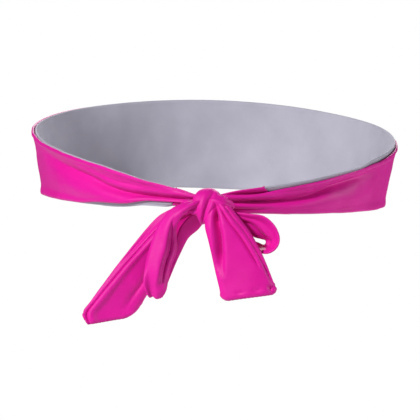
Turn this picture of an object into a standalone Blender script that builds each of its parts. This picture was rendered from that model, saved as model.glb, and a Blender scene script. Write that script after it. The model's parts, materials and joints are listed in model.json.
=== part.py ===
"""Sports headband of the head-tie kind: a lined stretch band that is worn round the head and tied in a bow.

Frame: metres, +Z up, +Y the wearer's forward, +X the wearer's right. The origin is the centre of the
head opening, level with the middle of the band over the ears. The bow is at the back, at -Y.
The outer layer is the one away from the head. Each strand that hangs from the knot swings on an
empty at its root, about the X direction.
"""

import math

import bmesh
import bpy
from mathutils import Vector

# ---- Driving dimensions, in metres -------------------------------------------------------------

HEAD_HALF_WIDTH = 0.0748  # head opening at the middle of the band, to the lining
HEAD_HALF_LENGTH = 0.0970
FABRIC = 0.0006  # one layer of jersey
CLEARANCE = 0.0003  # between pieces that touch on the real band

BAND_FRONT_WIDTH = 0.0415  # height of the band on the forehead
BAND_KNOT_WIDTH = 0.0072  # gathered height where an arm enters the knot
BAND_SIDE_GAIN = 0.0110  # height that the band gains as its gathers open
GATHER_ANGLE = 30.0  # degrees round the head that the gathers take to open
LOWER_EDGE_RISE = 0.0112  # rise of the lower edge from the knot to the forehead

LOWER_EDGE_LEAN = 0.0033  # lower edge pulled in to the nape
UPPER_EDGE_FLARE = 0.0027  # upper edge rolled outwards
FLARE_FROM = 0.62  # share of the band's height where the roll begins
FOREHEAD_LEAN = 0.0050  # upper edge pulled back on the forehead
ARM_STAND_OFF = 0.0018  # how far the arms stand off the head beside the knot
STAND_OFF_ANGLE = 12.0  # degrees round the head that this dies away in

SEAM_ALLOWANCE = 0.0022  # width of the overlocked edge inside the band
JOIN_SEAM_WIDTH = 0.0016
LEFT_JOIN_X = 0.0120  # where the lining meets each tie facing, from the centre plane
RIGHT_JOIN_X = 0.0220

KNOT_DROP = 0.0160  # knot's centre below the origin
KNOT_WIDTH = 0.0124
KNOT_HEIGHT = 0.0146
KNOT_DEPTH = 0.0116
KNOT_WRAP_WALL = 0.0042
KNOT_CROWN = 1.5  # roundness of the wrap along its axis, up to 2 for a full ball
HALF_KNOT_TURNS = 0.5

ROOT_DROP = 0.0014  # from the knot's underside to the roots of the strands below it
PART_X = -0.0018  # where the left and right strands part below the knot
PART_GAP = 0.0020
STRAND_CLEARANCE = 0.0018  # between strands that hang in front of each other

RIGHT_TAIL_LENGTH = 0.0278
RIGHT_TAIL_ROOT_WIDTH = 0.0170
RIGHT_TAIL_END_WIDTH = 0.0208
RIGHT_TAIL_LEAN = 23.0  # degrees from straight down, positive towards the wearer's right
RIGHT_TAIL_SLOPES = (2.0, 14.0)  # of the lines across it at its root and at its end
LEFT_TAIL_LENGTH = 0.0470
LEFT_TAIL_ROOT_WIDTH = 0.0095
LEFT_TAIL_END_WIDTH = 0.0180
LEFT_TAIL_LEAN = -38.5
LEFT_TAIL_SLOPES = (-34.0, 8.0)
END_SEAM_HEIGHT = 0.0009

LEFT_LOOP_LENGTH = 0.0272
LEFT_LOOP_ROOT_WIDTH = 0.0095
LEFT_LOOP_END_WIDTH = 0.0085
LEFT_LOOP_LEAN = -24.0
LEFT_LOOP_SLOPES = (-12.0, -8.0)
LEFT_LOOP_TURN = 0.0022  # radius of the fold at the bottom of the left loop
RIGHT_LOOP_REACH = 0.0200  # from its root to the far side of its turn
RIGHT_LOOP_DROP = 0.0120
RIGHT_LOOP_ROOT_WIDTH = 0.0042
RIGHT_LOOP_END_WIDTH = 0.0096

# ---- Values that follow from them ---------------------------------------------------------------

LAYER_OFFSET = (FABRIC + CLEARANCE) / 2  # from the middle of two layers to the middle of each
TWO_LAYERS = 2 * FABRIC + CLEARANCE
LINING_MIDDLE = FABRIC / 2  # distances out from the head side of the band
SEAM_MIDDLE = FABRIC + CLEARANCE + FABRIC / 2
SHELL_MIDDLE = SEAM_MIDDLE + FABRIC + CLEARANCE

KNOT_Z = -KNOT_DROP
KNOT_Y = -(HEAD_HALF_LENGTH + KNOT_DEPTH / 2 - CLEARANCE)
KNOT_BORE = KNOT_HEIGHT / 2 - KNOT_WRAP_WALL
KNOT_FLATTEN = KNOT_DEPTH / KNOT_HEIGHT
ARM_START_X = KNOT_WIDTH / 2 + 3 * CLEARANCE

ROOT_Z = KNOT_Z - KNOT_HEIGHT / 2 - ROOT_DROP
LEFT_ROOT_X = PART_X - PART_GAP / 2 - max(LEFT_LOOP_ROOT_WIDTH, LEFT_TAIL_ROOT_WIDTH) / 2
RIGHT_ROOT_X = PART_X + PART_GAP / 2 + RIGHT_TAIL_ROOT_WIDTH / 2
LEFT_TAIL_Y = KNOT_Y + LEFT_LOOP_TURN
LEFT_LOOP_Y = LEFT_TAIL_Y - TWO_LAYERS - STRAND_CLEARANCE - LEFT_LOOP_TURN
RIGHT_TAIL_Y = KNOT_Y - RIGHT_LOOP_ROOT_WIDTH / 2 - TWO_LAYERS - STRAND_CLEARANCE
RIGHT_LOOP_FRONT_Y = RIGHT_TAIL_Y + TWO_LAYERS / 2 + STRAND_CLEARANCE / 2
RIGHT_LOOP_ROOT_X = KNOT_WIDTH / 2 + TWO_LAYERS
RIGHT_LOOP_ROOT_Z = KNOT_Z - BAND_KNOT_WIDTH / 2 - TWO_LAYERS

# Each swing's axis is a little to one side of its strand, so that the strand's weight holds it at rest.
SWING_BIAS = 0.0003
LEFT_TAIL_PIVOT = Vector((LEFT_ROOT_X, LEFT_TAIL_Y - SWING_BIAS, ROOT_Z))
RIGHT_TAIL_PIVOT = Vector((RIGHT_ROOT_X, RIGHT_TAIL_Y + SWING_BIAS, ROOT_Z))
LEFT_LOOP_PIVOT = Vector((LEFT_ROOT_X, LEFT_LOOP_Y + SWING_BIAS, ROOT_Z))
RIGHT_LOOP_PIVOT = Vector((RIGHT_LOOP_ROOT_X, KNOT_Y - SWING_BIAS, RIGHT_LOOP_ROOT_Z))

BAND_STEPS = 64  # round the whole head
BAND_SHARES = (0.0, 0.3, FLARE_FROM, 0.82, 1.0)  # of the band's height, from its lower edge
STRAND_STEPS = 8
TURN_STEPS = 6
WRAP_STEPS = 28
CROWN_STEPS = 8


def mix(a, b, share):
    return a + (b - a) * share


def ease(share):
    share = min(1.0, max(0.0, share))
    return share * share * (3 - 2 * share)


# ---- Making objects -----------------------------------------------------------------------------


def material(name, colour, roughness):
    made = bpy.data.materials.new(name)
    made.use_nodes = True
    shader = made.node_tree.nodes["Principled BSDF"]
    shader.inputs["Base Color"].default_value = (*colour, 1.0)
    shader.inputs["Roughness"].default_value = roughness
    shader.inputs["Metallic"].default_value = 0.0
    return made


def place(name, data, finish, pivot=None):
    """Puts a mesh or curve in the scene, hung from a pivot where it has one."""
    data.materials.append(finish)
    made = bpy.data.objects.new(name, data)
    bpy.context.scene.collection.objects.link(made)
    made.parent = pivot
    return made


def swing(name, position):
    """An empty on the axis of a strand's swing."""
    pivot = bpy.data.objects.new(name, None)
    pivot.empty_display_size = 0.004
    pivot.location = position
    bpy.context.scene.collection.objects.link(pivot)
    return pivot


def cloth(name, rows, finish, thickness=FABRIC, pivot=None):
    """A layer of cloth whose middle surface runs through rows of points."""
    origin = pivot.location if pivot else Vector()
    mesh = bmesh.new()
    grid = [[mesh.verts.new(point - origin) for point in row] for row in rows]
    for lower, upper in zip(grid, grid[1:]):
        for i in range(len(lower) - 1):
            mesh.faces.new((lower[i], lower[i + 1], upper[i + 1], upper[i]))
    data = bpy.data.meshes.new(name)
    mesh.to_mesh(data)
    mesh.free()
    data.shade_smooth()
    made = place(name, data, finish, pivot)
    thicken = made.modifiers.new("Thickness", "SOLIDIFY")
    thicken.thickness = thickness
    thicken.offset = 0.0
    thicken.use_even_offset = True


# ---- The band round the head --------------------------------------------------------------------
# A turn is an angle round the head in degrees: 0 at the knot, 90 at the right ear, 180 at the forehead.


def from_back(turn):
    return min(turn % 360.0, 360.0 - turn % 360.0)


def turn_at_x(x):
    return math.degrees(math.asin(x / HEAD_HALF_WIDTH))


def round_head(turn):
    """0 at the knot, 1 at the forehead."""
    return (1 - math.cos(math.radians(from_back(turn)))) / 2


def band_width(turn):
    opened = 1 - math.exp(-from_back(turn) / GATHER_ANGLE)
    growth = BAND_FRONT_WIDTH - BAND_KNOT_WIDTH - BAND_SIDE_GAIN
    return BAND_KNOT_WIDTH + BAND_SIDE_GAIN * opened + growth * round_head(turn)


def band_height(turn, share):
    lower_edge = KNOT_Z - BAND_KNOT_WIDTH * 0.3 + LOWER_EDGE_RISE * round_head(turn)
    return lower_edge + band_width(turn) * share


def band_lean(turn, share):
    """How far the band stands out from the head opening."""
    below = LOWER_EDGE_LEAN * min(0.0, share / FLARE_FROM - 1)
    above = UPPER_EDGE_FLARE * max(0.0, (share - FLARE_FROM) / (1 - FLARE_FROM)) ** 1.4
    forehead = FOREHEAD_LEAN * (0.3 - share)
    beside_knot = ARM_STAND_OFF * math.exp(-((from_back(turn) / STAND_OFF_ANGLE) ** 2))
    return mix(below + above, forehead, ease((from_back(turn) - 95.0) / 75.0)) + beside_knot


def on_band(turn, share):
    """A point on the head side of the band."""
    x, y = math.sin(math.radians(turn)), -math.cos(math.radians(turn))
    out = Vector((x / HEAD_HALF_WIDTH, y / HEAD_HALF_LENGTH, 0)).normalized()
    base = Vector((x * HEAD_HALF_WIDTH, y * HEAD_HALF_LENGTH, band_height(turn, share)))
    return base + out * band_lean(turn, share)


def out_of_band(turn, share):
    along = on_band(turn + 0.5, share) - on_band(turn - 0.5, share)
    up = on_band(turn, min(1.0, share + 0.05)) - on_band(turn, max(0.0, share - 0.05))
    return along.cross(up).normalized()


def band_layer(name, start, end, depth, finish, shares=lambda turn: BAND_SHARES):
    """A layer of the band over part of the way round, its middle at a depth out from the head side."""
    steps = max(2, round(BAND_STEPS * (end - start) / 360.0))
    rows = []
    for turn in (mix(start, end, i / steps) for i in range(steps + 1)):
        rows.append([on_band(turn, v) + out_of_band(turn, v) * depth for v in shares(turn)])
    cloth(name, rows, finish)


def build_band(magenta, grey, thread):
    """The shell, the lining that faces the head, and the seams that hold them together between the two."""
    first = turn_at_x(ARM_START_X)
    right_join = turn_at_x(RIGHT_JOIN_X)
    left_join = 360.0 - turn_at_x(LEFT_JOIN_X)
    last = 360.0 - first
    gap = turn_at_x(CLEARANCE)
    band_layer("outer_shell", first, last, SHELL_MIDDLE, magenta)
    band_layer("inner_lining", right_join + gap, left_join - gap, LINING_MIDDLE, grey)
    band_layer("right_tie_facing", first, right_join, LINING_MIDDLE, magenta)
    band_layer("left_tie_facing", left_join, last, LINING_MIDDLE, magenta)

    def lower(turn):
        return [edge / band_width(turn) for edge in (CLEARANCE, CLEARANCE + SEAM_ALLOWANCE)]

    def upper(turn):
        return [1 - share for share in lower(turn)]

    def between_edges(turn):
        inset = (SEAM_ALLOWANCE + 2 * CLEARANCE) / band_width(turn)
        return (inset, 1 - inset)

    band_layer("upper_edge_seam", first, last, SEAM_MIDDLE, thread, upper)
    band_layer("lower_edge_seam", first, last, SEAM_MIDDLE, thread, lower)
    half_seam = turn_at_x(JOIN_SEAM_WIDTH / 2)
    for name, centre in (("right_join_seam", right_join), ("left_join_seam", left_join)):
        band_layer(name, centre - half_seam, centre + half_seam, SEAM_MIDDLE, thread, between_edges)


# ---- The knot -----------------------------------------------------------------------------------


def build_knot_wrap(magenta):
    """The turn of the tie that closes the bow: a domed sleeve round the crossing, its bore along X."""
    half = KNOT_WIDTH / 2
    profile = []
    for i in range(CROWN_STEPS + 1):
        x = mix(-half, half, i / CROWN_STEPS)
        crown = math.sqrt(1 - (KNOT_CROWN * x / KNOT_WIDTH) ** 2)
        profile.append(Vector((x, 0, KNOT_BORE + KNOT_WRAP_WALL * crown)))
    profile += [Vector((half, 0, KNOT_BORE)), Vector((-half, 0, KNOT_BORE))]
    mesh = bmesh.new()
    points = [mesh.verts.new(point) for point in profile]
    edges = [mesh.edges.new((a, b)) for a, b in zip(points, points[1:] + points[:1])]
    about = {"axis": (1, 0, 0), "cent": (0, 0, 0), "angle": 2 * math.pi, "steps": WRAP_STEPS}
    bmesh.ops.spin(mesh, geom=points + edges, use_merge=True, **about)
    bmesh.ops.scale(mesh, verts=mesh.verts, vec=(1, KNOT_FLATTEN, 1))
    bmesh.ops.recalc_face_normals(mesh, faces=mesh.faces)
    data = bpy.data.meshes.new("knot_wrap")
    mesh.to_mesh(data)
    mesh.free()
    data.shade_smooth()
    data.set_sharp_from_angle(angle=math.radians(50))
    place("knot_wrap", data, magenta).location = (0, KNOT_Y, KNOT_Z)


def build_half_knot(magenta):
    """The first crossing of the two ties: a pair of strands that turn round each other in the wrap."""
    radius = (KNOT_BORE * KNOT_FLATTEN - 3 * CLEARANCE) / 2
    offset = radius + CLEARANCE
    for name, phase in (("half_knot_left_tie", 0.0), ("half_knot_right_tie", math.pi)):
        data = bpy.data.curves.new(name, "CURVE")
        data.dimensions = "3D"
        data.bevel_depth = radius
        data.bevel_resolution = 2
        data.use_fill_caps = True
        path = data.splines.new("POLY")
        path.points.add(STRAND_STEPS)
        for i, point in enumerate(path.points):
            turn = phase + 2 * math.pi * HALF_KNOT_TURNS * i / STRAND_STEPS
            x = mix(-KNOT_WIDTH / 2, KNOT_WIDTH / 2, i / STRAND_STEPS)
            point.co = (x, offset * math.sin(turn), offset * math.cos(turn), 1)
        place(name, data, magenta).location = (0, KNOT_Y, KNOT_Z)


# ---- The tails and loops ------------------------------------------------------------------------


def downward(lean):
    return Vector((math.sin(math.radians(lean)), 0, -math.cos(math.radians(lean))))


def strand_lines(root, lean, length, widths, slopes):
    """Left and right edge points down a flat strand, whose cross lines slope by the angles given."""
    lines = []
    for i in range(STRAND_STEPS + 1):
        share = i / STRAND_STEPS
        slope = math.radians(mix(*slopes, ease(share)))
        half = Vector((math.cos(slope), 0, math.sin(slope))) * mix(*widths, share) / 2
        centre = root + downward(lean) * length * share
        lines.append((centre - half, centre + half))
    return lines


def build_tail(side, pivot_at, lines, magenta, thread):
    """A tie end: two layers of jersey and the stitched seam that closes them."""
    pivot = swing(side + "_tail_swing", pivot_at)
    for layer, depth in (("outer", -LAYER_OFFSET), ("facing", LAYER_OFFSET)):
        rows = [[point + Vector((0, depth, 0)) for point in line] for line in lines]
        cloth(side + "_tail_" + layer, rows, magenta, pivot=pivot)
    left, right = lines[-1]
    past_end = Vector((right.z - left.z, 0, left.x - right.x)).normalized()
    seam = []
    for distance in (CLEARANCE, CLEARANCE + END_SEAM_HEIGHT):
        seam.append([point + past_end * distance for point in (left, right)])
    cloth(side + "_tail_end_seam", seam, thread, TWO_LAYERS, pivot)


def build_tails(magenta, thread):
    end_seam = END_SEAM_HEIGHT + CLEARANCE
    root = Vector((LEFT_ROOT_X, LEFT_TAIL_Y, ROOT_Z))
    widths = (LEFT_TAIL_ROOT_WIDTH, LEFT_TAIL_END_WIDTH)
    lines = strand_lines(root, LEFT_TAIL_LEAN, LEFT_TAIL_LENGTH - end_seam, widths, LEFT_TAIL_SLOPES)
    build_tail("left", LEFT_TAIL_PIVOT, lines, magenta, thread)
    root = Vector((RIGHT_ROOT_X, RIGHT_TAIL_Y, ROOT_Z))
    widths = (RIGHT_TAIL_ROOT_WIDTH, RIGHT_TAIL_END_WIDTH)
    lines = strand_lines(root, RIGHT_TAIL_LEAN, RIGHT_TAIL_LENGTH - end_seam, widths, RIGHT_TAIL_SLOPES)
    build_tail("right", RIGHT_TAIL_PIVOT, lines, magenta, thread)


def build_left_loop(magenta):
    """A strand that hangs, folds up behind itself and goes back to the knot."""
    pivot = swing("left_loop_swing", LEFT_LOOP_PIVOT)
    root = Vector((LEFT_ROOT_X, LEFT_LOOP_Y, ROOT_Z))
    widths = (LEFT_LOOP_ROOT_WIDTH, LEFT_LOOP_END_WIDTH)
    lines = strand_lines(root, LEFT_LOOP_LEAN, LEFT_LOOP_LENGTH - LEFT_LOOP_TURN, widths, LEFT_LOOP_SLOPES)
    front, down = Vector((0, -1, 0)), downward(LEFT_LOOP_LEAN)
    stations = [(line, front) for line in lines]
    for i in range(1, TURN_STEPS):
        angle = math.pi * i / TURN_STEPS
        stations.append((lines[-1], front * math.cos(angle) + down * math.sin(angle)))
    stations += [(line, -front) for line in reversed(lines)]
    for layer, depth in (("outer", LAYER_OFFSET), ("facing", -LAYER_OFFSET)):
        rows = [[point + out * (LEFT_LOOP_TURN + depth) for point in line] for line, out in stations]
        cloth("left_loop_" + layer, rows, magenta, pivot=pivot)


def smooth_through(points, steps):
    """A Catmull-Rom curve through the points, with this many steps between each pair."""
    padded = [2 * points[0] - points[1], *points, 2 * points[-1] - points[-2]]
    curve = []
    for p0, p1, p2, p3 in zip(padded, padded[1:], padded[2:], padded[3:]):
        for t in (k / steps for k in range(steps)):
            bend = (2 * p0 - 5 * p1 + 4 * p2 - p3) * t * t + (3 * p1 - p0 - 3 * p2 + p3) * t**3
            curve.append(p1 + ((p2 - p0) * t + bend) / 2)
    return [*curve, points[-1].copy()]


def build_right_loop(magenta):
    """A strand that goes out to the side, turns round an open eye and comes back below itself."""
    pivot = swing("right_loop_swing", RIGHT_LOOP_PIVOT)
    root = Vector((RIGHT_LOOP_ROOT_X, 0, RIGHT_LOOP_ROOT_Z))
    # Shares of the reach and of the drop: out along the band, round, and back to the knot.
    shape = [(0.0, 0.0), (0.42, -0.02), (0.78, 0.08), (0.97, 0.42)]
    shape += [(0.92, 0.82), (0.66, 0.96), (0.40, 0.66), (0.0, 0.26)]
    corners = [root + Vector((x * RIGHT_LOOP_REACH, 0, -z * RIGHT_LOOP_DROP)) for x, z in shape]
    path = smooth_through(corners, 4)
    for layer, depth in (("outer", LAYER_OFFSET), ("facing", -LAYER_OFFSET)):
        rows = []
        for before, point, after in zip([path[0], *path], path, [*path[1:], path[-1]]):
            along = (after - before).normalized()
            middle = point + Vector((-along.z, 0, along.x)) * depth
            opened = ease((point.x - root.x) / RIGHT_LOOP_REACH / 0.8)
            front = mix(KNOT_Y - RIGHT_LOOP_ROOT_WIDTH / 2, RIGHT_LOOP_FRONT_Y, opened)
            width = mix(RIGHT_LOOP_ROOT_WIDTH, RIGHT_LOOP_END_WIDTH, opened)
            rows.append([middle + Vector((0, y, 0)) for y in (front, front + width)])
        cloth("right_loop_" + layer, rows, magenta, pivot=pivot)


# ---- Assembly -----------------------------------------------------------------------------------


def main():
    for old in list(bpy.data.objects):
        bpy.data.objects.remove(old)
    magenta = material("magenta_jersey", (0.86, 0.035, 0.42), 0.55)
    grey = material("grey_lining", (0.36, 0.37, 0.42), 0.75)
    thread = material("seam_thread", (0.70, 0.03, 0.34), 0.65)
    build_band(magenta, grey, thread)
    build_knot_wrap(magenta)
    build_half_knot(magenta)
    build_tails(magenta, thread)
    build_left_loop(magenta)
    build_right_loop(magenta)


main()
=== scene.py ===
"""The looks of a tie-back sports headband: a stretch jersey band with a grey lining, tied in a bow behind.

Lengths are metres; MM turns millimetres into them. A bow point is given from the knot's centre, in
millimetres: x to the wearer's right, z up, and out, how far it stands out behind the head.
"""

import json
import math

import bmesh
import bpy
import numpy as np
from mathutils import Matrix, Vector, noise


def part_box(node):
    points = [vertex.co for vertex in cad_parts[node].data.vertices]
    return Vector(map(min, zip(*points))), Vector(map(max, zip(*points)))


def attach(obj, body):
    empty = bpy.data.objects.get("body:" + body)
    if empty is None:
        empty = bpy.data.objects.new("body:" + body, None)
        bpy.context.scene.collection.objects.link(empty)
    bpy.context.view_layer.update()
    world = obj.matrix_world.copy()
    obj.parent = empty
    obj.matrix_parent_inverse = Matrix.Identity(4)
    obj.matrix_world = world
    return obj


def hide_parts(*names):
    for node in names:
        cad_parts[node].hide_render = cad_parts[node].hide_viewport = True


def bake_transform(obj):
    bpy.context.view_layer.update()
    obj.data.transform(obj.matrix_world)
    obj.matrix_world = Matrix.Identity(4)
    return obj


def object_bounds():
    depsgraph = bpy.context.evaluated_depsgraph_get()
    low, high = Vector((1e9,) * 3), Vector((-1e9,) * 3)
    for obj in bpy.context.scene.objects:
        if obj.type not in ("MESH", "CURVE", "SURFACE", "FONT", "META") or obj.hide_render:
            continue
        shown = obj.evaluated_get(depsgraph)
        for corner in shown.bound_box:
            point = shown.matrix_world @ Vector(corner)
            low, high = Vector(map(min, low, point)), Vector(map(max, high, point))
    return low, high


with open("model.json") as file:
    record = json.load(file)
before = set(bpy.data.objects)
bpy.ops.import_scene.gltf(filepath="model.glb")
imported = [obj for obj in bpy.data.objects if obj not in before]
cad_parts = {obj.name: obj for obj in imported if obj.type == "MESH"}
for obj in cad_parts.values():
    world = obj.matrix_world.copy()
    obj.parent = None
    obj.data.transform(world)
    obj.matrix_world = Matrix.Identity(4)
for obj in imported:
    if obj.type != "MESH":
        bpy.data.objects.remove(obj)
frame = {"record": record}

MM = 0.001
CAD_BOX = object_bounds()

KNOT_LOW, KNOT_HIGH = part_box("knot_wrap")
KNOT = (Vector(KNOT_LOW) + Vector(KNOT_HIGH)) / 2
PIVOTS = {j["name"]: Vector(j["pos_m"]) for j in frame["record"]["behaviour"]["joints"]}

# ---- Camera, lights and floor --------------------------------------------------------------------

VIEW_TURN = 1.3  # degrees that the camera stands round from straight behind
VIEW_ROLL = 2.3  # degrees that it leans
VIEW_DISTANCE = 1.2  # behind the head's middle
VIEW_CENTRE = KNOT + Vector((1.2, 0, -1.2)) * MM
SENSOR_WIDTH, LENS = 36.0, 236.0  # millimetres, as Blender takes them

HEAD_MIDDLE = (0, 0, 0)
RIGHT_EAR = (0.07, 0, 0)
LIGHTS = (  # name, place, aim, diameter, watts
    ("key", (-0.90, -1.20, 0.70), KNOT, 0.28, 31.0),
    ("side", (1.30, 0.05, 0.20), RIGHT_EAR, 0.60, 9.0),
    ("fill", (1.10, -1.05, 0.30), KNOT, 0.60, 1.2),
    ("front", (0.1, 1.3, 0.9), HEAD_MIDDLE, 0.8, 13.0),
)
WORLD_GLOW = 0.04  # how strongly the white surroundings light the cloth
FLOOR_HALF = 0.55
FLOOR_DROP = 0.12  # below the lowest tail


def add_camera():
    """A long lens behind the head, level with the knot, which sees the whole band."""
    turn = math.radians(VIEW_TURN)
    away = Vector((math.sin(turn), -math.cos(turn), 0))
    data = bpy.data.cameras.new("camera")
    data.sensor_width = SENSOR_WIDTH
    data.lens = LENS
    camera = bpy.data.objects.new("camera", data)
    bpy.context.scene.collection.objects.link(camera)
    stand = VIEW_CENTRE + away * (VIEW_DISTANCE + KNOT.y)
    level = Matrix.Rotation(turn, 4, "Z") @ Matrix.Rotation(math.pi / 2, 4, "X")
    camera.matrix_world = Matrix.Translation(stand) @ level @ Matrix.Rotation(math.radians(VIEW_ROLL), 4, "Z")
    bpy.context.scene.camera = camera
    bpy.context.scene.view_settings.view_transform = "Standard"


def add_area(name, at, aim, size, power):
    """A round soft light at a place, turned towards its aim."""
    data = bpy.data.lights.new(name, "AREA")
    data.shape = "DISK"
    data.size = size
    data.energy = power
    light = bpy.data.objects.new(name, data)
    bpy.context.scene.collection.objects.link(light)
    light.location = at
    light.rotation_euler = (Vector(aim) - Vector(at)).to_track_quat("-Z", "Y").to_euler()


def add_world():
    """White to the camera, and only a faint glow on the cloth."""
    world = bpy.data.worlds.new("studio")
    bpy.context.scene.world = world
    world.use_nodes = True
    nodes, links = world.node_tree.nodes, world.node_tree.links
    nodes.clear()
    seen = nodes.new("ShaderNodeBackground")
    seen.inputs["Color"].default_value = (1, 1, 1, 1)
    seen.inputs["Strength"].default_value = 1.0
    glow = nodes.new("ShaderNodeBackground")
    glow.inputs["Color"].default_value = (1, 1, 1, 1)
    glow.inputs["Strength"].default_value = WORLD_GLOW
    path = nodes.new("ShaderNodeLightPath")
    blend = nodes.new("ShaderNodeMixShader")
    out = nodes.new("ShaderNodeOutputWorld")
    links.new(path.outputs["Is Camera Ray"], blend.inputs[0])
    links.new(glow.outputs[0], blend.inputs[1])
    links.new(seen.outputs[0], blend.inputs[2])
    links.new(blend.outputs[0], out.inputs["Surface"])


def add_floor():
    """A plain pale floor, so far under the bow that the main view doesn't reach it."""
    mesh = bpy.data.meshes.new("floor")
    half, depth = FLOOR_HALF, CAD_BOX[0][2] - FLOOR_DROP
    corners = [(-half, -half, depth), (half, -half, depth), (half, half, depth), (-half, half, depth)]
    mesh.from_pydata(corners, [], [(0, 1, 2, 3)])
    floor = bpy.data.objects.new("floor", mesh)
    bpy.context.scene.collection.objects.link(floor)
    paint = bpy.data.materials.new("floor_paint")
    paint.use_nodes = True
    shader = paint.node_tree.nodes["Principled BSDF"]
    shader.inputs["Base Color"].default_value = (0.93, 0.93, 0.93, 1)
    shader.inputs["Roughness"].default_value = 0.9
    mesh.materials.append(paint)


def add_studio():
    for light in LIGHTS:
        add_area(*light)
    add_world()
    add_floor()


# ---- Materials -----------------------------------------------------------------------------------

CLOUD_SCALE = 55.0  # of the soft colour variation, a patch about 2 cm across
ROW_SCALE = 620.0  # of the rows of stitches
STITCH_SCALE = 2400.0  # of the single stitches, about 0.4 mm
STITCH_DEPTH = 0.06 * MM


def colour_clouds(nodes, links, place, colour, deep):
    """The jersey's colour, drifting softly between its own shade and a deeper one."""
    clouds = nodes.new("ShaderNodeTexNoise")
    clouds.inputs["Scale"].default_value = CLOUD_SCALE
    clouds.inputs["Detail"].default_value = 3.0
    links.new(place.outputs["Object"], clouds.inputs["Vector"])
    colours = nodes.new("ShaderNodeValToRGB")
    colours.color_ramp.elements[0].position = 0.3
    colours.color_ramp.elements[0].color = (*deep, 1)
    colours.color_ramp.elements[1].position = 0.7
    colours.color_ramp.elements[1].color = (*colour, 1)
    links.new(clouds.outputs["Fac"], colours.inputs["Fac"])
    return colours.outputs["Color"]


def knit_bump(nodes, links, place, strength):
    """Rows of stitches, with the single stitches on them."""
    rows = nodes.new("ShaderNodeTexWave")
    rows.wave_type = "BANDS"
    rows.bands_direction = "Z"
    rows.inputs["Scale"].default_value = ROW_SCALE
    rows.inputs["Distortion"].default_value = 2.0
    rows.inputs["Detail"].default_value = 1.0
    links.new(place.outputs["Object"], rows.inputs["Vector"])
    stitches = nodes.new("ShaderNodeTexVoronoi")
    stitches.inputs["Scale"].default_value = STITCH_SCALE
    links.new(place.outputs["Object"], stitches.inputs["Vector"])
    both = nodes.new("ShaderNodeMath")
    both.operation = "ADD"
    links.new(rows.outputs["Fac"], both.inputs[0])
    links.new(stitches.outputs["Distance"], both.inputs[1])
    bump = nodes.new("ShaderNodeBump")
    bump.inputs["Strength"].default_value = strength
    bump.inputs["Distance"].default_value = STITCH_DEPTH
    links.new(both.outputs[0], bump.inputs["Height"])
    return bump.outputs["Normal"]


def jersey(name, colour, deep, roughness, sheen, tint, knit=0.35):
    """Fine stretch knit: soft colour variation, rows of stitches as bump, and a sheen."""
    made = bpy.data.materials.new(name)
    made.use_nodes = True
    nodes, links = made.node_tree.nodes, made.node_tree.links
    shader = nodes["Principled BSDF"]
    shader.inputs["Roughness"].default_value = roughness
    shader.inputs["Sheen Weight"].default_value = sheen
    shader.inputs["Sheen Roughness"].default_value = 0.45
    shader.inputs["Sheen Tint"].default_value = (*tint, 1)
    shader.inputs["Specular IOR Level"].default_value = 0.2
    place = nodes.new("ShaderNodeTexCoord")
    links.new(colour_clouds(nodes, links, place, colour, deep), shader.inputs["Base Color"])
    links.new(knit_bump(nodes, links, place, knit), shader.inputs["Normal"])
    return made


PINK_SHEEN = (1.0, 0.3, 0.7)
MAGENTA = jersey(
    "magenta_jersey",
    colour=(0.66, 0.006, 0.30),
    deep=(0.60, 0.004, 0.26),
    roughness=0.50,
    sheen=0.12,
    tint=PINK_SHEEN,
)
GREY = jersey(
    "grey_lining",
    colour=(0.40, 0.39, 0.46),
    deep=(0.35, 0.34, 0.41),
    roughness=0.8,
    sheen=0.25,
    tint=(0.9, 0.9, 1.0),
    knit=0.6,
)
THREAD = jersey(
    "seam_thread",
    colour=(0.58, 0.006, 0.25),
    deep=(0.48, 0.004, 0.20),
    roughness=0.6,
    sheen=0.10,
    tint=PINK_SHEEN,
    knit=0.2,
)

# ---- Cloth surfaces ------------------------------------------------------------------------------

MERGE_DISTANCE = 0.01 * MM
CURVE_STEPS = 24  # between two given points of a curve
STITCH_STEPS = 6  # along one overlock stitch


def smooth(low, high, value):
    """0 up to low, 1 from high on, easing between; low may be the larger, for a fall from 1 to 0."""
    share = np.clip((value - low) / (high - low), 0.0, 1.0)
    return share * share * (3 - 2 * share)


def dip(value, centre, width):
    """1 at the centre, falling off to both sides."""
    return np.exp(-(((value - centre) / width) ** 2))


def stations(count, crowding=0.72):
    """Shares from 0 to 1, whose steps are shorter by the share crowding at both ends."""
    even = np.linspace(0.0, 1.0, count)
    return even - crowding * np.sin(2 * math.pi * even) / (2 * math.pi)


def ripples(points, size, seed):
    """Soft random relief from -1 to 1 over an array of points, for features of the given size."""
    flat = points.reshape(-1, 3) / size
    shift = Vector((seed * 7.31, seed * 3.17, seed * 1.73))
    values = [noise.noise(Vector(p) + shift) for p in flat]
    return np.array(values).reshape(points.shape[:-1])


def normals(points):
    """Unit directions square to a grid of points."""
    along = np.gradient(points, axis=0)
    across = np.gradient(points, axis=1)
    found = np.cross(along, across)
    return found / np.maximum(np.linalg.norm(found, axis=2, keepdims=True), 1e-12)


def roughened(grid, size, seed, height):
    """The grid with soft random relief up to a height."""
    return grid + normals(grid) * (ripples(grid, size, seed) * height)[..., None]


def edge_distance(points, round_end):
    """How far each point is from the cloth's nearest side edge, or from its far end where that is rounded."""
    steps = np.linalg.norm(np.diff(points, axis=1), axis=2)
    left = np.concatenate([np.zeros((len(points), 1)), np.cumsum(steps, axis=1)], axis=1)
    nearest = np.minimum(left, left[:, -1:] - left)
    if round_end:
        runs = np.linalg.norm(np.diff(points, axis=0), axis=2)
        down = np.concatenate([np.zeros((1, points.shape[1])), np.cumsum(runs, axis=0)], axis=0)
        nearest = np.minimum(nearest, down[-1:] - down)
    return nearest


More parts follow.
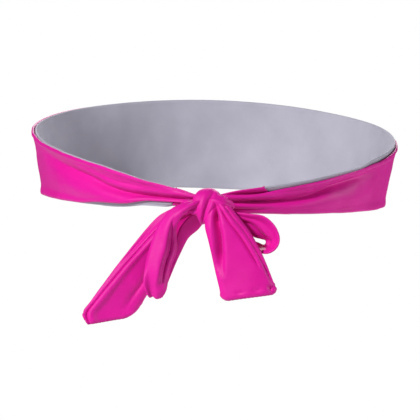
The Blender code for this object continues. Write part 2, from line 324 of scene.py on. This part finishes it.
def cloth(name, points, thickness, finish, hem=0.0, hem_width=1.2 * MM, round_end=False):
    """A closed layer of cloth about a grid of middle points, rounded at its edges, with thicker hems."""
    out = normals(points)
    gap = edge_distance(points, round_end)
    half = thickness / 2 + hem * dip(gap, hem_width, hem_width * 0.6)
    radius = thickness * 0.7
    half = half * np.sqrt(np.clip(1 - (1 - np.clip(gap / radius, 0, 1)) ** 2, 0, 1))
    rows, columns = points.shape[:2]
    front, back = points + out * half[..., None], points - out * half[..., None]
    verts = np.concatenate([front.reshape(-1, 3), back.reshape(-1, 3)])
    index = np.arange(rows * columns).reshape(rows, columns)
    a, b, c, d = index[:-1, :-1], index[:-1, 1:], index[1:, 1:], index[1:, :-1]
    quads = np.stack([a, d, c, b], axis=-1).reshape(-1, 4)
    faces = [tuple(q) for q in quads] + [tuple(q[::-1] + rows * columns) for q in quads]
    rim = [*index[0, :], *index[1:, -1], *index[-1, :-1][::-1], *index[1:-1, 0][::-1]]
    for p, q in zip(rim, rim[1:] + rim[:1]):
        faces.append((p, q, q + rows * columns, p + rows * columns))
    return finish_piece(name, verts, faces, finish)


def finish_piece(name, verts, faces, finish):
    """Makes the mesh, merges doubled points, turns the faces outwards and puts the piece in the scene."""
    mesh = bpy.data.meshes.new(name)
    mesh.from_pydata([tuple(v) for v in verts], [], faces)
    work = bmesh.new()
    work.from_mesh(mesh)
    bmesh.ops.remove_doubles(work, verts=work.verts, dist=MERGE_DISTANCE)
    bmesh.ops.recalc_face_normals(work, faces=work.faces)
    work.to_mesh(mesh)
    work.free()
    mesh.shade_smooth()
    mesh.materials.append(finish)
    piece = bpy.data.objects.new(name, mesh)
    bpy.context.scene.collection.objects.link(piece)
    return piece


def curve_through(points, count):
    """Points evenly along a smooth Catmull-Rom curve through a few given ones."""
    given = np.array(points, float)
    padded = np.vstack([2 * given[0] - given[1], given, 2 * given[-1] - given[-2]])
    fine = []
    for p0, p1, p2, p3 in zip(padded, padded[1:], padded[2:], padded[3:]):
        t = np.linspace(0, 1, CURVE_STEPS, endpoint=False)[:, None]
        bend = (2 * p0 - 5 * p1 + 4 * p2 - p3) * t * t + (3 * p1 - p0 - 3 * p2 + p3) * t**3
        fine.append(p1 + ((p2 - p0) * t + bend) / 2)
    fine = np.vstack(fine + [given[-1:]])
    run = np.concatenate([[0], np.cumsum(np.linalg.norm(np.diff(fine, axis=0), axis=1))])
    wanted = np.linspace(0, run[-1], count)
    return np.stack([np.interp(wanted, run, fine[:, k]) for k in range(fine.shape[1])], axis=1)


def bow_points(x, out, z):
    """Bow coordinates in millimetres, as an array of places in the frame."""
    return np.stack([KNOT.x + x * MM, KNOT.y - out * MM, KNOT.z + z * MM], axis=-1)


# ---- The band round the head ---------------------------------------------------------------------
# The middle surface repeats the solid's rule, and folds, gathers and rolled edges are added to it.

HEAD_HALF_WIDTH = 74.8 * MM
HEAD_HALF_LENGTH = 97.0 * MM
FRONT_WIDTH = 41.5 * MM  # the band's height on the forehead
KNOT_WIDTH = 7.2 * MM  # its gathered height at the knot
SIDE_GAIN = 11.0 * MM  # the height that it gains as its gathers open
GATHER_ANGLE = 30.0  # degrees round the head that they take to open
EDGE_RISE = 11.2 * MM  # of the lower edge, from the knot to the forehead
BELOW_KNOT = 0.3  # share of the gathered height that lies below the knot's centre
LOWER_LEAN = 3.3 * MM  # the lower edge is pulled in to the nape
UPPER_FLARE = 2.7 * MM  # the upper edge is rolled outwards
FLARE_FROM = 0.62  # share of the band's height where the roll begins
FOREHEAD_LEAN = 5.0 * MM  # the upper edge is pulled back on the forehead
LEAN_PIVOT = 0.3  # share of the band's height about which it leans there
FOREHEAD_FROM, FOREHEAD_FULL = 95.0, 170.0  # degrees from the knot between which that lean sets in
STAND_OFF = 1.8 * MM  # the arms stand off the head beside the knot
STAND_OFF_ANGLE = 12.0  # degrees round the head that this dies away in

SHELL_DEPTH = 2.0 * MM  # out from the head side
LINING_DEPTH = 0.5 * MM
SHELL_THICKNESS = 0.9 * MM  # the jersey with its hems looks fuller than its 0.6 mm
LINING_THICKNESS = 0.8 * MM
LINING_HEM = 0.12 * MM


def from_back(turn):
    """Degrees from the knot, the shorter way round; turn starts at the knot and goes round by the right."""
    return np.minimum(turn % 360.0, 360.0 - turn % 360.0)


def side_of(turn):
    """1 on the wearer's right, -1 on the left, easing between them across the knot and the forehead."""
    return np.clip(np.sin(np.radians(turn)) * 4.0, -1.0, 1.0)


def band_width(turn):
    """The band's height, from its gathered ends beside the knot to the forehead."""
    angle = from_back(turn)
    growth = FRONT_WIDTH - KNOT_WIDTH - SIDE_GAIN
    opened = 1 - np.exp(-angle / GATHER_ANGLE)
    return KNOT_WIDTH + SIDE_GAIN * opened + growth * (1 - np.cos(np.radians(angle))) / 2


def band_surface(turn, share, depth):
    """Places on the band: turn and share are arrays of one shape, depth is how far out from the head side."""
    angle = from_back(turn)
    radians = np.radians(turn)
    x, y = np.sin(radians), -np.cos(radians)
    out = np.stack([x / HEAD_HALF_WIDTH, y / HEAD_HALF_LENGTH, 0 * x], axis=-1)
    out /= np.linalg.norm(out, axis=-1, keepdims=True)
    low = KNOT.z - KNOT_WIDTH * BELOW_KNOT + EDGE_RISE * (1 - np.cos(np.radians(angle))) / 2
    z = low + band_width(turn) * share
    below = LOWER_LEAN * np.minimum(0.0, share / FLARE_FROM - 1)
    above = UPPER_FLARE * np.maximum(0.0, (share - FLARE_FROM) / (1 - FLARE_FROM)) ** 1.4
    forehead = FOREHEAD_LEAN * (LEAN_PIVOT - share)
    front = smooth(FOREHEAD_FROM, FOREHEAD_FULL, angle)
    lean = (below + above) * (1 - front) + forehead * front + STAND_OFF * dip(angle, 0.0, STAND_OFF_ANGLE)
    base = np.stack([x * HEAD_HALF_WIDTH, y * HEAD_HALF_LENGTH, z], axis=-1)
    return base + out * (lean + folds(turn, share) + depth)[..., None]


def crease_share(angle):
    """Where the long crease lies in the band's height, from the knot to the ear."""
    angles = [6, 12, 20, 27, 33, 40, 50, 60, 70]
    return np.interp(angle, angles, [0.5, 0.44, 0.41, 0.43, 0.5, 0.64, 0.72, 0.82, 0.92])


def folds(turn, share):
    """Relief of the worn band: the long crease, the bulge below it, and the gathers beside the knot."""
    angle, side = from_back(turn), side_of(turn)
    crease = crease_share(angle)
    strength = smooth(70.0, 42.0, angle) * smooth(3.0, 14.0, angle)
    valley = -2.6 * MM * dip(share, crease, 0.085 + 0.05 * (share < crease)) * strength
    belly = 1.5 * MM * dip(share, crease * 0.45, 0.22) * strength
    second = -0.5 * MM * dip(share, crease + 0.24, 0.07)
    second = second * smooth(48.0, 30.0, angle) * smooth(5.0, 14.0, angle)
    gathered = smooth(30.0, 6.0, angle)
    pleats = 0.75 * MM * np.sin(2 * math.pi * (3.2 * share + 0.15 * side + 0.02 * angle)) * gathered
    tuck = -0.7 * MM * dip(share, 0.18, 0.05) * smooth(26.0, 16.0, angle) * smooth(2.0, 8.0, angle)
    waves = 0.35 * MM * np.sin(np.radians(turn) * 9.0 + share * 2.0) * smooth(60.0, 120.0, angle)
    rim = 0.7 * MM * dip(share, 0.07, 0.06) * smooth(34.0, 60.0, angle) * smooth(130.0, 90.0, angle)
    return valley + belly + second + pleats + tuck + waves + rim


def band_grid(start, end, low_edge, high_edge, depth, across=54, step=0.8, slant=(0.0, 0.0)):
    """A grid over part of the band, between two edges given as heights in from the lower and upper edge.

    slant is how many degrees further round each end lies at the lower edge than at the upper.
    """
    turns = np.linspace(start, end, max(6, int(abs(end - start) / step)))
    low = low_edge(turns) / band_width(turns)
    high = 1 - high_edge(turns) / band_width(turns)
    cross = stations(across)
    share = low[:, None] + (high - low)[:, None] * cross[None, :]
    turn = np.repeat(turns[:, None], across, axis=1)
    along = np.linspace(0.0, 1.0, len(turns))[:, None]
    turn = turn + (1 - share) * (slant[0] * (1 - along) ** 4 + slant[1] * along**4)
    grid = band_surface(turn, share, depth)
    relief = ripples(grid, 9 * MM, 1.0) * 0.28 * MM + ripples(grid, 3.5 * MM, 2.0) * 0.07 * MM
    return grid + normals(grid) * relief[..., None]


def turn_at(x):
    """Degrees round the head, from the knot, of a place so far from the middle plane."""
    return math.degrees(math.asin(x / HEAD_HALF_WIDTH))


RIGHT_SLANT, LEFT_SLANT = 12.0, 2.0  # degrees further round that each join lies at its foot
RIGHT_JOIN = turn_at(19.5 * MM)
LEFT_JOIN = 360.0 - turn_at(12.0 * MM)
BAND_START = turn_at(3.4 * MM)
BAND_END = 360.0 - BAND_START


def lining_low(turn):
    """The left arm's lower edge draws in beside the knot."""
    angle = from_back(turn)
    left = 1.4 * MM * smooth(30.0, 17.0, angle) + 1.5 * MM * smooth(12.0, 5.0, angle)
    return np.where(turn > 180.0, left, 0.0)


def lining_high(turn):
    """Both arms' upper edges draw in towards the knot, the right one from further round."""
    angle = from_back(turn)
    left_drop = 1.4 * MM * smooth(37.0, 16.0, angle)
    right_drop = (1.2 + 0.8 * smooth(8.0, 28.0, angle)) * MM * smooth(66.0, 48.0, angle)
    return np.where(turn > 180.0, left_drop, right_drop)


def shell_low(turn):
    """The shell's lower edge stands up from the lining's on the left arm, where the lining rolls out."""
    angle = from_back(turn)
    rolled = 1.2 * smooth(48.0, 34.0, angle) + 0.7 * smooth(26.0, 18.0, angle)
    return lining_low(turn) + 0.2 * MM + np.where(turn > 180.0, rolled * MM * smooth(4.0, 12.0, angle), 0.0)


def shell_high(turn):
    """The shell's upper edge lies below the lining's, most of all on the right arm beside the knot."""
    left = turn > 180.0
    angle = from_back(turn)
    right_drop = 1.5 * MM + 2.5 * MM * smooth(95.0, 14.0, angle) * smooth(3.0, 15.0, angle)
    left_drop = lining_high(turn) + 0.15 * MM
    even = smooth(120.0, 180.0, angle)
    return np.where(left, left_drop, right_drop) * (1 - even) + 0.6 * MM * even


def build_shell():
    shell = band_grid(BAND_START, BAND_END, shell_low, shell_high, SHELL_DEPTH)
    outer = cloth("band_shell", shell, SHELL_THICKNESS, MAGENTA, hem=0.28 * MM, hem_width=1.1 * MM)
    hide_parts("outer_shell", "upper_edge_seam", "lower_edge_seam")
    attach(outer, "band")


def build_lining():
    slant = (RIGHT_SLANT, -LEFT_SLANT)
    lining = band_grid(RIGHT_JOIN, LEFT_JOIN, lining_low, lining_high, LINING_DEPTH, slant=slant)
    inner = cloth("band_lining", lining, LINING_THICKNESS, GREY, hem=LINING_HEM)
    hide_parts("inner_lining")
    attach(inner, "band")


def build_tie_lining(side, first, last, slant):
    """The magenta inner layer from the grey lining's end to the knot, and the stitches where they join."""
    grid = band_grid(first, last, lining_low, lining_high, LINING_DEPTH, step=0.35, slant=slant)
    facing = cloth(side + "_tie_lining", grid, LINING_THICKNESS, MAGENTA, hem=LINING_HEM)
    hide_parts(side + "_tie_facing")
    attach(facing, "band")
    row = grid[-1] if side == "right" else grid[0]
    seam = thread_row(side + "_join_stitches", row - normals(grid)[0] * 0.1 * MM, 0.35 * MM, 0.8 * MM)
    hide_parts(side + "_join_seam")
    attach(seam, "band")


def build_band():
    build_shell()
    build_lining()
    build_tie_lining("right", BAND_START, RIGHT_JOIN, slant=(0.0, RIGHT_SLANT))
    build_tie_lining("left", LEFT_JOIN, BAND_END, slant=(-LEFT_SLANT, 0.0))


def tube(name, path, radii, finish, sides=10):
    """A closed round tube along a path of places, with a radius at each."""
    path, radii = np.asarray(path, float), np.asarray(radii, float)
    along = np.gradient(path, axis=0)
    along /= np.linalg.norm(along, axis=1, keepdims=True)
    up = np.array([0.0, 0.0, 1.0]) + 1e-4  # leaned a little, so that no path runs along it
    side = np.cross(along, up)
    side /= np.linalg.norm(side, axis=1, keepdims=True)
    other = np.cross(side, along)
    angles = np.linspace(0, 2 * math.pi, sides, endpoint=False)
    ring = side[:, None] * np.cos(angles)[None, :, None] + other[:, None] * np.sin(angles)[None, :, None]
    verts = (path[:, None] + ring * radii[:, None, None]).reshape(-1, 3)
    faces = [tuple(range(sides))[::-1], tuple(range(len(verts) - sides, len(verts)))]
    for i in range(len(path) - 1):
        for k in range(sides):
            a, b = i * sides + k, i * sides + (k + 1) % sides
            faces.append((a, b, b + sides, a + sides))
    return finish_piece(name, verts, faces, finish)


def thread_row(name, row, radius, pitch):
    """A row of overlock stitches: a fine cord that swells at each stitch."""
    run = np.concatenate([[0], np.cumsum(np.linalg.norm(np.diff(row, axis=0), axis=1))])
    count = max(4 * STITCH_STEPS, int(run[-1] / pitch * STITCH_STEPS))
    even = np.linspace(0, run[-1], count)
    path = np.stack([np.interp(even, run, row[:, k]) for k in range(3)], axis=1)
    swell = 0.9 + 0.1 * np.cos(2 * math.pi * even / pitch)
    return tube(name, path, radius * swell, THREAD, sides=8)


# ---- The knot ------------------------------------------------------------------------------------

PLEAT_TWIST = 220  # radians a metre that the gathers' pleats turn along the arm


def build_wrap():
    """The wrap runs from upper right, over the dome, and narrows to a point at the lower left."""
    around, across = 120, 64
    angle = np.linspace(0, 2 * math.pi, around, endpoint=False)[:, None]  # 0 up, 90 towards the viewer
    share = stations(across, 0.60)[None, :]
    keys = np.radians([0, 45, 90, 125, 160, 180, 205, 270, 315, 360])
    left = np.interp(angle, keys, [-4.8, -5.8, -5.6, -4.6, -3.4, -2.9, -3.4, -5.0, -5.0, -4.8])
    right = np.interp(angle, keys, [5.4, 6.2, 4.6, 2.2, -0.1, -0.4, 1.0, 5.0, 5.4, 5.4])
    x = left + (right - left) * share
    crown = np.sqrt(np.clip(1 - np.abs(2 * share - 1) ** 2.4 * 0.86, 0, 1))
    front = dip(angle, math.pi / 2, 1.3)
    radius = 2.6 + 4.9 * crown
    pleats = np.cos(2 * math.pi * (2.2 * share + 0.35 * np.sin(angle - 0.6)))
    radius = radius + 0.38 * pleats * front * np.sin(math.pi * share)
    radius = radius - 0.9 * dip(share, 0.72 - 0.10 * angle, 0.07) * front
    radius = radius * (1 - 0.04 * dip(angle, math.pi, 0.5))
    out = radius * np.sin(angle) * 0.80
    grid = bow_points(x, out, radius * np.cos(angle))
    verts = grid.reshape(-1, 3)
    index = np.arange(around * across).reshape(around, across)
    faces = []
    for i in range(around):
        j = (i + 1) % around
        for k in range(across - 1):
            faces.append((index[i, k], index[j, k], index[j, k + 1], index[i, k + 1]))
    faces += [tuple(index[:, 0]), tuple(index[::-1, -1])]
    wrap = finish_piece("knot_wrap_cloth", verts, faces, MAGENTA)
    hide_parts("knot_wrap")
    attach(wrap, "band")


def build_gathers():
    """The ends of the two arms, drawn together where they enter the knot."""
    stations_along = 40
    ends = {
        "left": [(-10.5, -0.6, 0.8), (-8.0, 0.6, 0.6), (-5.5, 1.8, -0.2), (-2.5, 2.4, -1.0), (0.5, 1.0, 0.5)],
        "right": [(11.0, -0.6, 0.6), (8.0, 1.0, 0.8), (5.6, 2.6, 1.4), (3.0, 2.6, 2.2), (0.0, 1.0, 0.5)],
    }
    for side, points in ends.items():
        route = curve_through(points, stations_along)
        path = bow_points(route[:, 0], route[:, 1], route[:, 2])
        along = np.linspace(0, 1, stations_along)
        girth = np.interp(along, [0, 0.12, 0.5, 0.8, 1], [0.3, 2.0, 3.0, 2.6, 0.6]) * MM
        piece = tube(side + "_tie_gather", path, girth, MAGENTA, sides=40)
        pleat(piece, path, count=5, depth=0.11)
        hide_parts("half_knot_" + side + "_tie")
        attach(piece, "band")


def pleat(piece, path, count, depth):
    """Cuts lengthwise pleats into a round piece about its path, depth as a share of its radius."""
    for vertex in piece.data.vertices:
        place = np.array(vertex.co)
        middle = path[np.argmin(np.linalg.norm(path - place, axis=1))]
        arm = place - middle
        turn = math.atan2(arm[2], -arm[1])
        vertex.co = Vector(middle + arm * (1 + depth * math.sin(count * turn + PLEAT_TWIST * place[0])))


# ---- The tails and loops -------------------------------------------------------------------------


def strand_grid(left, right, out, relief, across=64, along=120):
    """A strand between a left and a right edge, each a few (x, z) points, standing out by out plus relief.

    out is two lists: shares of the way down, and how far out the strand lies there.
    """
    cross, down = stations(across, 0.60)[None, :], np.linspace(0, 1, along)[:, None]
    lefts, rights = curve_through(left, along), curve_through(right, along)
    x = lefts[:, :1] + (rights[:, :1] - lefts[:, :1]) * cross
    z = lefts[:, 1:] + (rights[:, 1:] - lefts[:, 1:]) * cross
    return x, np.interp(down, *out) + relief(cross, down), z


def corner_lift(x, z, radii):
    """How far the end of a strand draws back at its left and right corners, to round them."""
    across = np.hypot(x[-1] - x[-1, 0], z[-1] - z[-1, 0])
    lift = np.zeros_like(across)
    for distance, radius in ((across, radii[0]), (across[-1] - across, radii[1])):
        inside = np.clip(1 - distance / radius, 0, 1)
        lift = lift + radius * (1 - np.sqrt(np.clip(1 - inside**2, 0, 1)))
    return lift


def rounded_end(x, z, radii, share=0.16):
    """Draws a strand's last stretch, a share of its length, back at the corners of its end."""
    weight = smooth(1 - share, 1.0, np.linspace(0, 1, len(x)))[:, None]
    back = 20  # rows before the end, to tell which way the strand runs there
    down = np.array([x[-1].mean() - x[-back].mean(), z[-1].mean() - z[-back].mean()])
    down /= np.linalg.norm(down)
    lift = corner_lift(x, z, radii)[None, :] * weight
    return x - down[0] * lift, z - down[1] * lift


def finish_strand(piece, nodes):
    """Hides the solid parts that the strand stands for, and bakes its placing into its mesh."""
    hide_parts(*nodes)
    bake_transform(piece)


def below(joint, above, under):
    """Two places on the upright through a pivot: so many millimetres above it, and so many below."""
    pivot = PIVOTS[joint]
    return pivot + Vector((0, 0, above)) * MM, pivot - Vector((0, 0, under)) * MM


def end_stitches(name, grid, body, node):
    """The seam along a tail's end: a rolled edge with a stitch every couple of millimetres."""
    inset = 3  # points left out at each corner
    row = grid[-1, inset:-inset]
    past = row - grid[-6, inset:-inset]
    past /= np.linalg.norm(past, axis=1, keepdims=True)
    seam = thread_row(name, row - past * 0.15 * MM, 0.32 * MM, 1.6 * MM)
    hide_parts(node)
    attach(seam, body)


# The folds are relief in millimetres: u runs from a strand's left edge to its right, v from the knot
# to its end, or round a loop and back to the knot.


def right_tail_folds(u, v):
    """A deep valley down from the knot, sharp at its right, and two narrow pleats along the right edge."""
    brink = np.interp(v, [0.05, 0.3, 0.5, 0.66, 0.8], [0.55, 0.39, 0.26, 0.17, 0.12])
    wedge = -3.4 * smooth(brink - 0.27, brink - 0.01, u) * smooth(brink + 0.07, brink, u)
    wedge = wedge * smooth(0.80, 0.50, v) * smooth(0.0, 0.16, v)
    pleat_a = -1.7 * dip(u, 0.62 + 0.30 * v, 0.032) * smooth(0.80, 0.5, v)
    between = 0.8 * dip(u, 0.72 + 0.22 * v, 0.045) * smooth(0.85, 0.5, v)
    pleat_b = -1.4 * dip(u, 0.81 + 0.16 * v, 0.024) * smooth(0.99, 0.75, v)
    soft = 0.5 * np.sin(5.0 * u + 3.0 * v + 0.6) * smooth(0.2, 0.6, v)
    dimple = -1.8 * dip(u, 0.90, 0.04) * dip(v, 0.945, 0.030)
    pucker = -0.5 * dip(v, 0.94, 0.025) * (0.5 + 0.5 * np.sin(20 * u + 1.0)) * smooth(0.1, 0.4, u)
    edge = -1.4 * dip(u, 1.0, 0.06) - 0.9 * dip(u, 0.0, 0.06) - 1.0 * dip(v, 1.0, 0.02)
    return 1.9 * np.sin(math.pi * u) + wedge + pleat_a + between + pleat_b + soft + dimple + pucker + edge


def build_right_tail():
    left = [
        (0.4, 0.5), (-0.4, -3.5), (-0.4, -8.0), (1.0, -13.0), (2.5, -18.5), (5.0, -28.0),
        (7.7, -37.2),
    ]
    right = [
        (5.4, 3.4), (9.0, 0.6), (13.2, -4.2), (17.8, -9.6), (22.6, -17.6), (26.6, -26.2),
        (29.3, -33.4),
    ]
    out = ([0, 0.12, 0.25, 0.5, 1.0], [2.2, 4.4, 5.1, 5.2, 5.4])
    x, depth, z = strand_grid(left, right, out, right_tail_folds)
    x, z = rounded_end(x, z, (2.6, 2.4))
    grid = bow_points(x, depth, z)
    grid = roughened(grid, 7 * MM, 3.0, 0.22 * MM)
    piece = cloth("right_tail_cloth", grid, 1.1 * MM, MAGENTA, round_end=True)
    nodes = ("right_tail_outer", "right_tail_facing")
    finish_strand(piece, nodes=nodes)
    end_stitches("right_tail_stitches", grid, "right_tail", "right_tail_end_seam")


def left_tail_folds(u, v):
    """A margin set back along the left edge, and a lower half that is turned to the right."""
    crease = np.interp(v, [0, 0.25, 0.6, 0.95, 1.0], [0.42, 0.34, 0.17, 0.08, 0.07])
    lean = -6.0 * (u - 0.4) * smooth(0.30, 0.60, v)
    margin = -1.8 * smooth(0.02, -0.16, u - crease)
    groove = -1.0 * dip(u, crease, 0.026)
    ridge = 0.9 * dip(u, crease + 0.09, 0.07)
    shade = -1.0 * dip(u, 0.74, 0.08) * smooth(0.25, 0.5, v) * smooth(1.0, 0.75, v)
    soft = 0.5 * np.sin(6.0 * u - 4.0 * v)
    edge = -0.9 * dip(u, 1.0, 0.06) - 0.8 * dip(v, 1.0, 0.016)
    return lean + margin + groove + ridge + shade + soft + edge


def build_left_tail():
    left = [
        (-3.0, 1.5), (-10.0, 0.2), (-16.5, -2.4), (-22.2, -7.2), (-33.3, -22.1), (-44.4, -38.4),
        (-48.1, -44.6), (-46.4, -49.0),
    ]
    right = [
        (-3.0, -2.5), (-8.0, -7.5), (-12.4, -14.5), (-16.4, -23.0), (-19.8, -31.0), (-23.6, -37.5),
        (-27.4, -45.2),
    ]
    out = ([0, 0.12, 0.25, 0.45, 0.7, 1.0], [-3.4, -4.8, -5.0, -4.5, -3.3, -3.2])
    x, depth, z = strand_grid(left, right, out, left_tail_folds)
    x, z = rounded_end(x, z, (1.2, 5.0))
    grid = bow_points(x, depth, z)
    grid = roughened(grid, 8 * MM, 4.0, 0.2 * MM)
    piece = cloth("left_tail_cloth", grid, 1.1 * MM, MAGENTA, round_end=True)
    nodes = ("left_tail_outer", "left_tail_facing")
    finish_strand(piece, nodes=nodes)
    end_stitches("left_tail_stitches", grid, "left_tail", "left_tail_end_seam")


def loop_grid(left, right, relief, across=60, along=190):
    """A ribbon between two edges that go out and come back, each a few (x, out, z) points."""
    cross, down = stations(across, 0.60)[None, :, None], np.linspace(0, 1, along)[:, None]
    lefts, rights = curve_through(left, along), curve_through(right, along)
    middle = lefts[:, None, :] + (rights - lefts)[:, None, :] * cross
    grid = bow_points(middle[..., 0], middle[..., 1], middle[..., 2])
    return grid + normals(grid) * relief(cross[..., 0], down)[..., None] * MM


def left_loop_folds(u, v):
    """A front strand that is turned to the left, its right margin folded back, and a hollow back strand."""
    front = smooth(0.50, 0.40, v)
    folded = smooth(0.14, 0.26, v) * front
    back = -(2.8 * smooth(0.50, 0.62, u) + 4.0 * smooth(0.50, 1.05, u)) * folded
    groove = -0.5 * dip(u, 0.70, 0.04) * folded
    ridge = 0.9 * dip(u, 0.82, 0.045) * folded
    crown = (2.6 * smooth(-0.05, 0.50, u) - 0.8) * front
    hollow = -0.4 * np.sin(math.pi * u) * smooth(0.55, 0.70, v)
    tucks = 0.5 * np.sin(9 * u + 2.0) * smooth(0.38, 0.46, v) * smooth(0.60, 0.52, v)
    top = 0.6 * np.sin(11 * u + 0.5) * smooth(0.20, 0.02, v)
    edge = -0.9 * dip(u, 0.0, 0.06) * front
    return back + groove + ridge + crown + hollow + tucks + top + edge


def build_left_loop():
    """Each edge goes down the front strand, round the fold at the bottom and up the back strand."""
    left = [
        (-3.5, 2.0, 2.2), (-9.0, 4.4, 1.0), (-14.0, 5.4, -1.6), (-18.8, 5.7, -8.0),
        (-21.4, 5.7, -15.4), (-23.3, 5.6, -24.0), (-24.0, 5.4, -31.0), (-22.6, 4.4, -35.2),
    ]
    left += [
        (-21.4, 2.6, -36.4), (-20.0, 0.2, -33.0), (-16.4, -1.8, -24.0), (-12.8, -1.8, -15.0),
        (-10.4, -1.4, -8.5), (-7.0, -1.2, -4.0), (-4.0, -1.2, -1.5),
    ]
    right = [
        (-1.5, 2.6, 0.2), (-4.5, 4.2, -0.6), (-8.2, 5.0, -2.8), (-11.6, 5.2, -7.4),
        (-11.4, 4.9, -12.0), (-10.8, 4.4, -18.0), (-12.3, 4.1, -23.4), (-13.5, 4.0, -28.6),
        (-14.5, 3.4, -33.6),
    ]
    right += [
        (-16.4, 2.0, -37.2), (-15.4, 0.4, -34.0), (-13.7, -1.4, -28.8), (-10.6, -3.2, -20.4),
        (-7.3, -4.5, -13.0), (-3.2, -4.7, -9.0), (-1.0, -4.0, -5.5), (-0.4, -3.0, -3.0),
    ]
    grid = loop_grid(left, right, left_loop_folds)
    grid = roughened(grid, 6 * MM, 5.0, 0.18 * MM)
    piece = cloth("left_loop_cloth", grid, 1.0 * MM, MAGENTA)
    nodes = ("left_loop_outer", "left_loop_facing")
    finish_strand(piece, nodes=nodes)


def right_loop_folds(u, v):
    """One crease from the knot round the turn."""
    top = smooth(0.0, 0.12, v) * smooth(0.62, 0.42, v)
    crease = -0.9 * dip(u, 0.36 + 0.30 * v, 0.09) * top
    ridge = 0.6 * dip(u, 0.62 + 0.20 * v, 0.12) * top
    return crease + ridge + 0.7 * np.sin(math.pi * u) + 0.25 * np.sin(9 * u + 14 * v)


def build_right_loop():
    """The edge near the viewer and the one near the head go out along the top and come back below."""
    near = [
        (3.0, 1.4, 0.5), (9.0, 1.3, -1.6), (16.0, 2.1, -2.0), (22.6, 3.4, -2.6), (27.0, 4.0, -6.0),
        (29.0, 4.1, -10.6), (28.4, 3.9, -14.4),
    ]
    near += [
        (25.8, 3.5, -17.0), (22.6, 3.1, -17.3), (19.6, 2.9, -15.2), (15.0, 2.7, -11.6),
        (9.0, 2.4, -7.8), (3.0, 1.5, -4.0),
    ]
    far = [
        (3.0, -1.0, -1.0), (9.0, -1.4, -5.0), (14.6, -2.4, -8.8), (19.0, -3.4, -11.4),
        (22.0, -4.2, -12.0), (23.6, -4.6, -12.3), (24.0, -4.6, -13.4),
    ]
    far += [
        (23.4, -4.4, -14.4), (22.2, -4.3, -14.4), (20.8, -4.1, -13.8), (15.0, -3.2, -11.4),
        (9.0, -2.0, -8.0), (3.0, -1.0, -4.6),
    ]
    grid = loop_grid(near, far, right_loop_folds)
    piece = cloth("right_loop_cloth", grid, 0.9 * MM, MAGENTA)
    nodes = ("right_loop_outer", "right_loop_facing")
    finish_strand(piece, nodes=nodes)


add_camera()
add_studio()
build_band()
build_wrap()
build_gathers()
build_right_tail()
build_left_tail()
build_left_loop()
build_right_loop()
